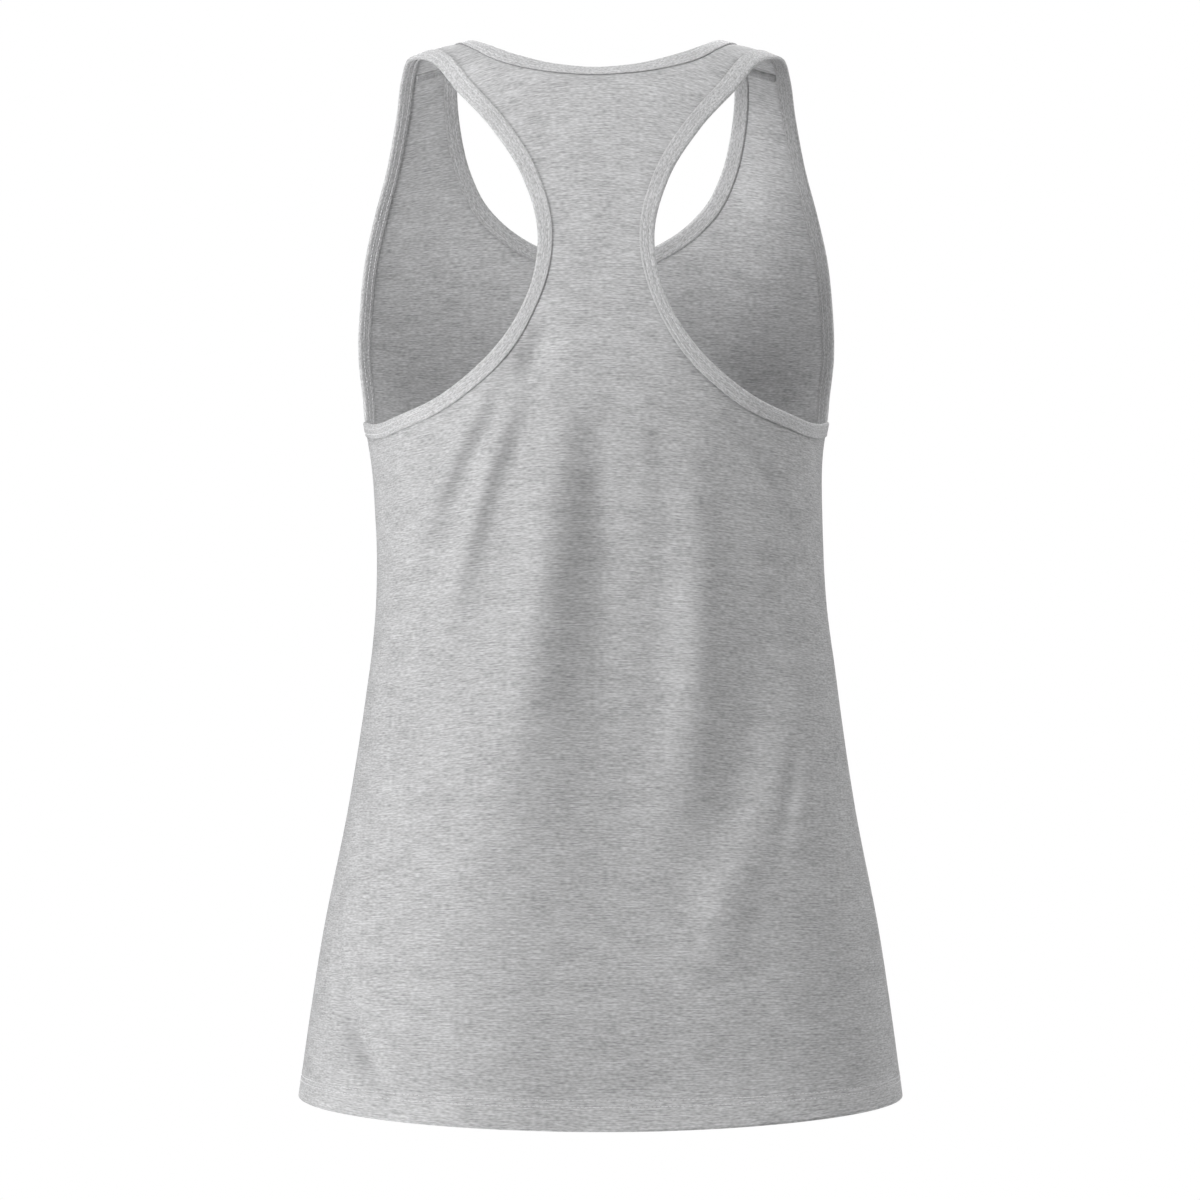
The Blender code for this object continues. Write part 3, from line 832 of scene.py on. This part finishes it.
def zigzag(first, second, pitch):
    """A thread's places that swing between two curves, rounded at the turns."""
    total = curve_lengths(first)[-1]
    count = int(total / pitch)
    turns = np.arange(count * ZIGZAG_STEPS) / ZIGZAG_STEPS
    stations = turns * total / count
    swing = 0.5 - ZIGZAG_SWING * np.cos(2 * math.pi * turns)
    swing = np.clip(swing, -ZIGZAG_OVERSHOOT, 1 + ZIGZAG_OVERSHOOT)[:, None]
    other = at_stations(second, stations / total * curve_lengths(second)[-1])
    return at_stations(first, stations) * (1 - swing) + other * swing


def make_loopers(name, threads, material):
    """Long threads on the inside, given as (places, lift, radius)."""
    bundles = [tubes(*lifted(places[None], lift), radius, LOOPER_SIDES)
               for places, lift, radius in threads]
    return thread_object(name, bundles, material)


def make_serging(name, places, into, material):
    """The trimmed seam allowance inside a seam, a flat strip with a rounded free edge."""
    waves = ALLOWANCE_WAVE * np.sin(curve_lengths(places) / ALLOWANCE_WAVE_SPAN)
    rings, marks = [], []
    for distance, lift in ALLOWANCE_SECTION:
        spots = places + into * distance
        rings.append(cloth(spots, lift - JERSEY_WALL / 2 - waves * distance / SERGING_WIDTH))
        marks.append(spots[:, ::-1] * METRES)
    points = np.stack(rings, axis=1).reshape(-1, 3)
    strip = np.stack(marks, axis=1).reshape(-1, 2)
    width, count = len(ALLOWANCE_SECTION), len(places)
    here = np.arange(count - 1)[:, None] * width
    faces = ring_faces(here, here + width, width)
    for start in (0, (count - 1) * width):
        faces.append(np.array([(start, start + i, start + i + 1) for i in range(1, width - 1)]))
    return mesh_object(name, points, np.concatenate(faces), strip, material)


def settle(piece):
    """Turns a piece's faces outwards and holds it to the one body."""
    shell = bmesh.new()
    shell.from_mesh(piece.data)
    bmesh.ops.recalc_face_normals(shell, faces=shell.faces)
    shell.to_mesh(piece.data)
    shell.free()
    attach(piece, "root")


# Materials.

def node(tree, kind, **settings):
    """A shader node with its properties and its sockets' values set."""
    made = tree.nodes.new(kind)
    for key, value in settings.items():
        if key in made.inputs:
            made.inputs[key].default_value = value
        else:
            setattr(made, key, value)
    return made


def math_node(tree, operation, first, second=None):
    """A Math node whose inputs are links or numbers."""
    made = node(tree, "ShaderNodeMath", operation=operation)
    for socket, value in zip(made.inputs, (first, second)):
        if value is None:
            continue
        if isinstance(value, (int, float)):
            socket.default_value = value
        else:
            tree.links.new(value, socket)
    return made.outputs[0]


def streak_noise(tree, strip, streak, seed):
    """Noise drawn out along the knit's rows, about 0 to 1."""
    scaled = node(tree, "ShaderNodeMapping",
                  Scale=(1 / (streak.across_size * METRES), 1 / (streak.run_size * METRES), 1),
                  Location=(seed * STREAK_OFFSET[0], seed * STREAK_OFFSET[1], 0))
    tree.links.new(strip, scaled.inputs["Vector"])
    noise = node(tree, "ShaderNodeTexNoise", noise_dimensions="2D", Scale=1.0, Detail=0.0)
    tree.links.new(scaled.outputs[0], noise.inputs["Vector"])
    return noise.outputs["Fac"]


def knit_height(tree, strip):
    """Height of a fine jersey face: columns of small leaning stitches."""
    parts = node(tree, "ShaderNodeSeparateXYZ")
    tree.links.new(strip, parts.inputs[0])
    column = math_node(tree, "MULTIPLY", parts.outputs["X"], math.pi / (KNIT_WALE * METRES))
    row = math_node(tree, "MULTIPLY", parts.outputs["Y"], 2 * math.pi / (KNIT_COURSE * METRES))
    lean = math_node(tree, "MULTIPLY", math_node(tree, "SINE", row), KNIT_LEAN)
    ribs = math_node(tree, "ABSOLUTE", math_node(tree, "SINE", math_node(tree, "ADD", column, lean)))
    rows = math_node(tree, "ABSOLUTE", math_node(tree, "COSINE", math_node(tree, "MULTIPLY", row, 0.5)))
    return math_node(tree, "ADD", ribs, math_node(tree, "MULTIPLY", rows, COURSE_RELIEF))


# Heather: streaks of dark and pale fibres along the knit's rows. The sizes are the noise's
# cells in millimetres and the weights, which add up to one, are the shares of the tone.
Streak = namedtuple("Streak", "across_size run_size weight")
PANEL_STREAKS = [
    Streak(2.8, 0.70, 0.33),
    Streak(6.5, 0.75, 0.23),
    Streak(14.0, 0.80, 0.24),
    Streak(0.5, 0.30, 0.10),
    Streak(32.0, 10.0, 0.10),
]
BAND_STREAKS = [
    Streak(1.8, 0.70, 0.45),
    Streak(4.5, 0.80, 0.27),
    Streak(0.6, 0.50, 0.20),
    Streak(20.0, 9.0, 0.08),
]
STREAK_OFFSET = (7.3, 3.1)
HEATHER_SPREAD = 0.20
PANEL_DARK = (0.34, 0.34, 0.344, 1.0)
PANEL_LIGHT = (0.65, 0.65, 0.655, 1.0)
BAND_DARK = (0.42, 0.42, 0.424, 1.0)
BAND_LIGHT = (0.70, 0.70, 0.705, 1.0)
THREAD_COLOUR = (0.68, 0.68, 0.69)
SERGING_COLOUR = (0.50, 0.50, 0.51)
JERSEY_SHINE_THROUGH = 0.42
HEM_SHINE_THROUGH = 0.37

# The knit's stitches and the thread's twist: sizes in millimetres, the rest are shares.
KNIT_WALE = 0.85
KNIT_COURSE = 0.66
KNIT_LEAN = 0.5
COURSE_RELIEF = 0.5
STREAK_RELIEF = 0.8
PANEL_KNIT_DEPTH = 0.06
BAND_KNIT_DEPTH = 0.07
JERSEY_BUMP = 0.6
THREAD_BUMP = 0.5
TWIST_DEPTH = 0.05
TWIST_SCALE = 2200.0
TWIST_DARK = 0.8
TWIST_LIGHT = 1.15
JERSEY_FINISH = {"Roughness": 0.88, "Specular IOR Level": 0.25, "Sheen Weight": 0.12,
                 "Sheen Roughness": 0.45}
THREAD_FINISH = {"Roughness": 0.6, "Sheen Weight": 0.1}


def new_material(name, finish):
    """A material with its finish set, as (material, node tree, shader)."""
    material = bpy.data.materials.new(name)
    material.use_nodes = True
    shader = material.node_tree.nodes["Principled BSDF"]
    for socket, value in finish.items():
        shader.inputs[socket].default_value = value
    return material, material.node_tree, shader


def two_tones(tree, tone, dark, light, spread, shader):
    """The shader's colour, from dark to light over a spread of tones round the middle."""
    ramp = node(tree, "ShaderNodeValToRGB")
    low, high = ramp.color_ramp.elements
    low.position, low.color = 0.5 - spread, dark
    high.position, high.color = 0.5 + spread, light
    tree.links.new(tone, ramp.inputs["Fac"])
    tree.links.new(ramp.outputs["Color"], shader.inputs["Base Color"])
    return ramp.outputs["Color"]


def add_bump(tree, height, strength, depth, shader):
    """The shader's fine relief, its depth in millimetres."""
    made = node(tree, "ShaderNodeBump", Strength=strength, Distance=depth * METRES)
    tree.links.new(height, made.inputs["Height"])
    tree.links.new(made.outputs["Normal"], shader.inputs["Normal"])


def hem_shine(tree, strip):
    """How much light comes through a panel: less where its hem is double."""
    parts = node(tree, "ShaderNodeSeparateXYZ")
    tree.links.new(strip, parts.inputs[0])
    in_hem = math_node(tree, "GREATER_THAN", math_node(tree, "ABSOLUTE", parts.outputs["Y"]),
                       (HEM_RUN - HEM_HEIGHT) * METRES)
    less = math_node(tree, "MULTIPLY", in_hem, JERSEY_SHINE_THROUGH - HEM_SHINE_THROUGH)
    return math_node(tree, "SUBTRACT", JERSEY_SHINE_THROUGH, less)


def jersey(name, dark, light, streak_table, knit_depth, hemmed):
    """Heathered grey jersey, thin enough for some light to come through."""
    material, tree, shader = new_material(name, JERSEY_FINISH)
    strip = node(tree, "ShaderNodeUVMap", uv_map="strip").outputs["UV"]
    noises = [streak_noise(tree, strip, streak, seed)
              for seed, streak in enumerate(streak_table, start=1)]
    tone = None
    for noise, streak in zip(noises, streak_table):
        share = math_node(tree, "MULTIPLY", noise, streak.weight)
        tone = share if tone is None else math_node(tree, "ADD", tone, share)
    colour = two_tones(tree, tone, dark, light, HEATHER_SPREAD, shader)
    height = math_node(tree, "ADD", knit_height(tree, strip),
                       math_node(tree, "MULTIPLY", noises[0], STREAK_RELIEF))
    add_bump(tree, height, JERSEY_BUMP, knit_depth, shader)
    through = node(tree, "ShaderNodeBsdfTranslucent")
    tree.links.new(colour, through.inputs["Color"])
    mix = node(tree, "ShaderNodeMixShader")
    mix.inputs[0].default_value = JERSEY_SHINE_THROUGH
    if hemmed:
        tree.links.new(hem_shine(tree, strip), mix.inputs[0])
    tree.links.new(shader.outputs[0], mix.inputs[1])
    tree.links.new(through.outputs[0], mix.inputs[2])
    tree.links.new(mix.outputs[0], tree.nodes["Material Output"].inputs["Surface"])
    return material


def thread_material(name, colour):
    """Sewing thread with a fine twist."""
    material, tree, shader = new_material(name, THREAD_FINISH)
    place = node(tree, "ShaderNodeTexCoord").outputs["Object"]
    twist = node(tree, "ShaderNodeTexNoise", Scale=TWIST_SCALE)
    tree.links.new(place, twist.inputs["Vector"])
    dark, light = ([part * share for part in colour] + [1.0] for share in (TWIST_DARK, TWIST_LIGHT))
    two_tones(tree, twist.outputs["Fac"], dark, light, 0.5, shader)
    add_bump(tree, twist.outputs["Fac"], THREAD_BUMP, TWIST_DEPTH, shader)
    return material


panel_jersey = jersey("panel_jersey", PANEL_DARK, PANEL_LIGHT, PANEL_STREAKS, PANEL_KNIT_DEPTH, True)
band_jersey = jersey("band_jersey", BAND_DARK, BAND_LIGHT, BAND_STREAKS, BAND_KNIT_DEPTH, False)
thread = thread_material("thread", THREAD_COLOUR)
serging_thread = thread_material("serging_thread", SERGING_COLOUR)


# The garment.

# Directions on the strip, as (run, across).
TOWARDS_CENTRE = np.array((0.0, -1.0))
TOWARDS_FRONT = np.array((-1.0, 0.0))


def neck_loop(step):
    """Places all round the neck and their directions in."""
    places, into = neck_frame(step)
    flip = (1.0, -1.0)
    return (np.concatenate([places, places[-2::-1] * flip]),
            np.concatenate([into, into[-2::-1] * flip]))


def binding_pieces(name, loop, side, join):
    """A binding with its stitches on both faces, as (band, stitches, length in metres)."""
    places, into = loop
    band = make_band(name + "_cloth", places, into, side, join, band_jersey)
    rows = [moved_in(places, into, row) * (1.0, side) for row in BAND_STITCH_ROWS]
    groove = min(point.lift for point in BAND_PROFILE if point.distance > BINDING_TUCK)
    top = groove + BINDING_FOLD / 2 + BAND_OUTER_RISE
    low = BAND_INNER_LIFT + BINDING_FOLD / 2 + BAND_INNER_RISE
    stitches = make_stitches(name + "_stitches", [StitchRow(row, top, 1) for row in rows]
                             + [StitchRow(row, low, -1) for row in rows], thread)
    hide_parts(name)
    for piece in (band, stitches):
        settle(piece)
    return band, stitches, curve_lengths(places)[-1] * METRES


def hem_row(sign, height):
    """Places along the hem at a height above its edge, from side to side."""
    run = sign * (HEM_RUN - height)
    edge = side_across(np.array([run]))[0] - HEM_ROW_INSET
    return resample(np.array([(run, -edge), (run, edge)]), EDGE_STEP)


def side_line():
    """Places down one side seam from the armhole binding to the hem, on the back panel."""
    top = ARMHOLE_BOTTOM_RUN + BINDING_WIDTH + SIDE_TOP_GAP
    runs = np.arange(top, HEM_RUN - HEM_HEIGHT - SEAM_INSET, SIDE_LINE_STEP)
    return np.stack([runs, side_across(runs) - SEAM_INSET], axis=1)


def shoulder_line():
    """Places along one shoulder seam between the two bindings, on the front panel."""
    run = SHOULDER_SEAM_RUN - SEAM_INSET
    neck = moved_in(*neck_frame(EDGE_STEP), BINDING_WIDTH + SHOULDER_END_GAP)
    arm = moved_in(*armhole_frame(EDGE_STEP), BINDING_WIDTH + SHOULDER_END_GAP)
    low = np.interp(run, neck[:, 0], neck[:, 1])
    high = np.interp(run, arm[:, 0], arm[:, 1])
    return resample(np.array([(run, low), (run, high)]), SEAM_LINE_STEP)


def serged_seam(name, line, into, side):
    """A seam allowance on the inside with the thread that wraps its free edge."""
    flip = np.array((1.0, side))
    places, heading = line * flip, into * flip
    strip = make_serging(name + "_allowance", places, heading, panel_jersey)
    depth = -JERSEY_WALL / 2 - OVERLOCK_DEPTH
    inner = places + heading * NEEDLE_LINE_INSET
    outer = places + heading * (SERGING_WIDTH + OVERLOCK_REACH)
    overlock = make_loopers(name + "_overlock", [
        (zigzag(inner, outer, OVERLOCK_PITCH), depth, OVERLOCK_RADIUS),
        (resample(inner, SEAM_LINE_STEP), depth - NEEDLE_LINE_DEPTH, NEEDLE_LINE_RADIUS),
    ], serging_thread)
    for piece in (strip, overlock):
        settle(piece)
    return [strip, overlock]


front = make_panel("front_panel_cloth", -1, panel_jersey)
back = make_panel("back_panel_cloth", 1, panel_jersey)
extras = {-1: [], 1: []}
for panel, sign, label in ((front, -1, "front"), (back, 1, "back")):
    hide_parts(label + "_panel")
    rows = [StitchRow(hem_row(sign, height), JERSEY_WALL / 2 + HEM_STITCH_RISE, 1)
            for height in HEM_STITCH_ROWS]
    stitches = make_stitches(label + "_hem_stitches", rows, thread)
    swing = zigzag(rows[0].curve, rows[1].curve, STITCH_PITCH)
    inside = -JERSEY_WALL / 2 - HEM_LAYER - HEM_LOOPER_RISE
    loopers = make_loopers(label + "_hem_loopers", [(swing, inside, HEM_LOOPER_RADIUS)], thread)
    extras[sign] += [stitches, loopers]
    for piece in (panel, stitches, loopers):
        settle(piece)
for side, hand in ((1.0, "left"), (-1.0, "right")):
    extras[1] += serged_seam("side_seam_" + hand, side_line(), TOWARDS_CENTRE, side)
    extras[-1] += serged_seam("shoulder_seam_" + hand, shoulder_line(), TOWARDS_FRONT, side)

# The neck band's join is on the left shoulder seam, those of the armholes' at the side seams.
neck_join = np.interp(SHOULDER_SEAM_RUN, neck_curve()[:, 0], curve_lengths(neck_curve()))
bands = [
    binding_pieces("neck_binding", neck_loop(BAND_STEP), 1.0, neck_join),
    binding_pieces("armhole_binding_left", armhole_frame(BAND_STEP), 1.0, 0.0),
    binding_pieces("armhole_binding_right", armhole_frame(BAND_STEP), -1.0, 0.0),
]


# Light, floor and camera.

FLOOR_HEIGHT = -1.9
FLOOR_REACH = 2.5
FLOOR_FINISH = {"Base Color": (0.86, 0.86, 0.86, 1.0), "Roughness": 0.9}
WHITE = (1.0, 1.0, 1.0, 1.0)
CAMERA_DISTANCE = 2.8
CAMERA_HEIGHT = -0.344
FRAME_WIDTH = 0.738
SENSOR_WIDTH = 36.0

# Square soft boxes round the top, aimed at its middle: azimuth turns from +Y towards +X,
# both angles are in degrees, sizes and distances in metres, power in watts.
SoftBox = namedtuple("SoftBox", "name azimuth elevation distance size power")
LIGHTS = [
    SoftBox("low_key", 55, -16, 3.6, 1.6, 148),
    SoftBox("high_key", 35, 45, 2.2, 1.0, 32),
    SoftBox("top", 0, 80, 2.0, 1.2, 20),
    SoftBox("side_fill", -90, 20, 3.6, 1.6, 96),
    SoftBox("front", 180, 35, 2.4, 1.2, 69),
]
LIGHT_TARGET = Vector((0.0, 0.0, -0.33))
WORLD_FILL = 0.14


def area_light(box):
    """One soft box that faces the middle of the top."""
    azimuth, elevation = math.radians(box.azimuth), math.radians(box.elevation)
    offset = Vector((math.sin(azimuth) * math.cos(elevation),
                     math.cos(azimuth) * math.cos(elevation), math.sin(elevation))) * box.distance
    lamp = bpy.data.lights.new(box.name, "AREA")
    lamp.shape = "SQUARE"
    lamp.size = box.size
    lamp.energy = box.power
    thing = bpy.data.objects.new(box.name, lamp)
    thing.location = LIGHT_TARGET + offset
    thing.rotation_mode = "QUATERNION"
    thing.rotation_quaternion = (-offset).to_track_quat("-Z", "Y")
    thing.visible_camera = False
    bpy.context.collection.objects.link(thing)


def make_floor():
    """A plain pale floor."""
    mesh = bpy.data.meshes.new("floor")
    corners = [(x * FLOOR_REACH, y * FLOOR_REACH, FLOOR_HEIGHT)
               for x, y in ((-1, -1), (1, -1), (1, 1), (-1, 1))]
    mesh.from_pydata(corners, [], [(0, 1, 2, 3)])
    mesh.materials.append(new_material("floor", FLOOR_FINISH)[0])
    floor = bpy.data.objects.new("floor", mesh)
    bpy.context.collection.objects.link(floor)


def make_world():
    """Soft light from all round, with a white background."""
    world = bpy.data.worlds.new("studio")
    bpy.context.scene.world = world
    world.use_nodes = True
    tree = world.node_tree
    back_drop = tree.nodes["Background"]
    back_drop.inputs["Color"].default_value = WHITE
    back_drop.inputs["Strength"].default_value = 1.0
    fill = node(tree, "ShaderNodeBackground", Color=WHITE, Strength=WORLD_FILL)
    seen = node(tree, "ShaderNodeLightPath").outputs["Is Camera Ray"]
    mix = node(tree, "ShaderNodeMixShader")
    tree.links.new(seen, mix.inputs[0])
    tree.links.new(fill.outputs[0], mix.inputs[1])
    tree.links.new(back_drop.outputs[0], mix.inputs[2])
    tree.links.new(mix.outputs[0], tree.nodes["World Output"].inputs["Surface"])


def make_camera():
    """A long lens level with the top's middle, behind its back."""
    lens = bpy.data.cameras.new("camera")
    lens.sensor_width = SENSOR_WIDTH
    lens.lens = SENSOR_WIDTH * CAMERA_DISTANCE / FRAME_WIDTH
    camera = bpy.data.objects.new("camera", lens)
    camera.location = (0.0, CAMERA_DISTANCE, CAMERA_HEIGHT)
    camera.rotation_euler = (math.radians(90.0), 0.0, math.radians(180.0))
    bpy.context.collection.objects.link(camera)
    bpy.context.scene.camera = camera


make_floor()
make_world()
make_camera()
for light in LIGHTS:
    area_light(light)

bpy.context.scene.view_settings.view_transform = "Standard"
bpy.context.scene.view_settings.look = "None"
